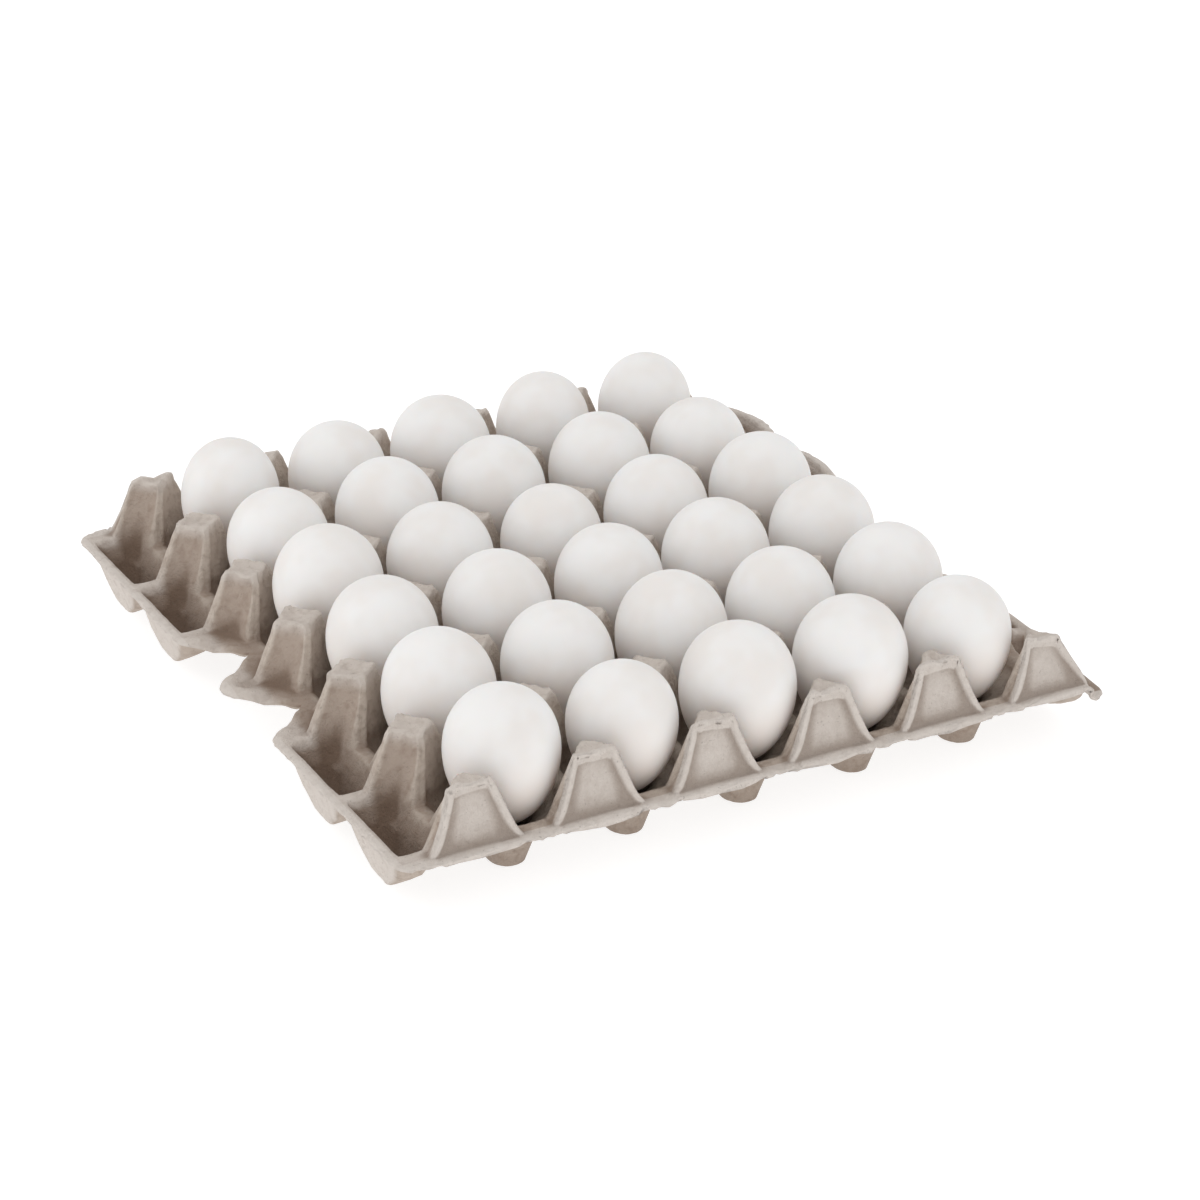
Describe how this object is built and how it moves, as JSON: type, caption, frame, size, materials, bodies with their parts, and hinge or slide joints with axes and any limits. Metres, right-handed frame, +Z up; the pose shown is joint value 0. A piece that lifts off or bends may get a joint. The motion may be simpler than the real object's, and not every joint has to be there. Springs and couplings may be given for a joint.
{
  "type": "egg tray with eggs",
  "caption": "Open square tray of moulded grey pulp, its cells parted by hollow square-topped posts, with a white egg standing in each cell and finger notches in two edges.",
  "frame": {"origin": "middle of the tray, on the surface that its feet stand on", "axes": "+Z up; X along the edge with five cells, -Y towards the front edge"},
  "size_m": [0.3038, 0.3032, 0.0686],
  "materials": {
    "white_eggshell": "matte, white, very fine pores",
    "grey_pulp": "dry felted pulp, warm grey, rough"
  },
  "bodies": {
    "root": {"egg_row1_place1": "white_eggshell", "egg_row1_place2": "white_eggshell", "egg_row1_place3": "white_eggshell", "egg_row1_place4": "white_eggshell", "egg_row1_place5": "white_eggshell", "egg_row2_place1": "white_eggshell", "egg_row2_place2": "white_eggshell", "egg_row2_place3": "white_eggshell", "egg_row2_place4": "white_eggshell", "egg_row2_place5": "white_eggshell", "egg_row3_place1": "white_eggshell", "egg_row3_place2": "white_eggshell", "egg_row3_place3": "white_eggshell", "egg_row3_place4": "white_eggshell", "egg_row3_place5": "white_eggshell", "egg_row4_place1": "white_eggshell", "egg_row4_place2": "white_eggshell", "egg_row4_place3": "white_eggshell", "egg_row4_place4": "white_eggshell", "egg_row4_place5": "white_eggshell", "egg_row5_place1": "white_eggshell", "egg_row5_place2": "white_eggshell", "egg_row5_place3": "white_eggshell", "egg_row5_place4": "white_eggshell", "egg_row5_place5": "white_eggshell", "egg_row6_place1": "white_eggshell", "egg_row6_place2": "white_eggshell", "egg_row6_place3": "white_eggshell", "egg_row6_place4": "white_eggshell", "egg_row6_place5": "white_eggshell", "tray": "grey_pulp"}
  },
  "joints": []
}
